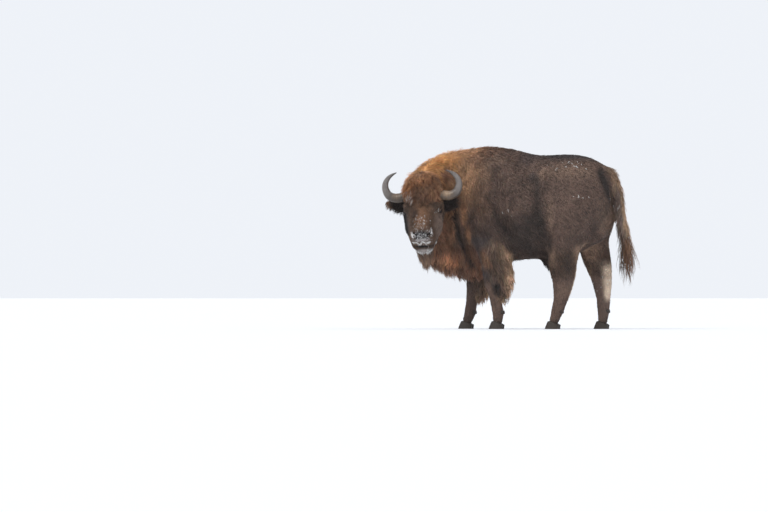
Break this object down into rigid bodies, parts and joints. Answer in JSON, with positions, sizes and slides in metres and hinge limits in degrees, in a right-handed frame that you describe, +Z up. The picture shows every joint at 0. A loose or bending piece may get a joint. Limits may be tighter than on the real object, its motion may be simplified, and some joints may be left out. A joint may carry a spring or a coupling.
{
  "type": "european bison bull",
  "caption": "Life-size standing European bison bull in winter coat, in mid step with its head turned to its left; a still, solid model.",
  "frame": {"origin": "on the ground, under the middle of the bounding box", "axes": "+Z up; the body faces -Y; the animal's left side is +X, towards which its head is turned"},
  "size_m": [1.129, 2.3554, 1.7478],
  "materials": {
    "coat_body": "dense grey-brown winter fur, matte",
    "coat_mane": "long shaggy warm brown fur, matte",
    "coat_chest": "long hanging brown hair, matte",
    "coat_face": "short to curly red-brown fur, matte",
    "coat_dark": "short dark brown fur, matte",
    "coat_tail": "short fur with a tuft of long coarse hair, matte",
    "muzzle": "bare dark skin, slightly moist, with pale lips",
    "horn": "smooth grey-black horn, paler at the root",
    "hoof": "dark worn horn",
    "eye": "wet dark brown eye"
  },
  "bodies": {
    "root": {"head": "coat_face", "muzzle": "muzzle", "lower_jaw": "muzzle", "eye_left": "eye", "eye_right": "eye", "horn_left": "horn", "horn_right": "horn", "ear_left": "coat_dark", "ear_right": "coat_dark", "forelock": "coat_face", "beard": "coat_chest", "chest_mane": "coat_chest", "neck": "coat_mane", "forequarters": "coat_mane", "barrel": "coat_body", "hindquarters": "coat_body", "sheath_tuft": "coat_body", "tail_dock": "coat_tail", "tail_tuft": "coat_tail", "foreleg_left_forearm": "coat_dark", "foreleg_left_cannon": "coat_dark", "foreleg_left_pastern": "coat_dark", "foreleg_left_chaps": "coat_dark", "foreleg_right_forearm": "coat_dark", "foreleg_right_cannon": "coat_dark", "foreleg_right_pastern": "coat_dark", "foreleg_right_chaps": "coat_dark", "hindleg_left_thigh": "coat_body", "hindleg_left_shank": "coat_dark", "hindleg_left_cannon": "coat_dark", "hindleg_left_pastern": "coat_dark", "hindleg_right_thigh": "coat_body", "hindleg_right_shank": "coat_dark", "hindleg_right_cannon": "coat_dark", "hindleg_right_pastern": "coat_dark", "foreleg_left_claw_inner": "hoof", "foreleg_left_claw_outer": "hoof", "foreleg_left_dewclaw_inner": "hoof", "foreleg_left_dewclaw_outer": "hoof", "foreleg_right_claw_inner": "hoof", "foreleg_right_claw_outer": "hoof", "foreleg_right_dewclaw_inner": "hoof", "foreleg_right_dewclaw_outer": "hoof", "hindleg_left_claw_inner": "hoof", "hindleg_left_claw_outer": "hoof", "hindleg_left_dewclaw_inner": "hoof", "hindleg_left_dewclaw_outer": "hoof", "hindleg_right_claw_inner": "hoof", "hindleg_right_claw_outer": "hoof", "hindleg_right_dewclaw_inner": "hoof", "hindleg_right_dewclaw_outer": "hoof"}
  },
  "joints": []
}
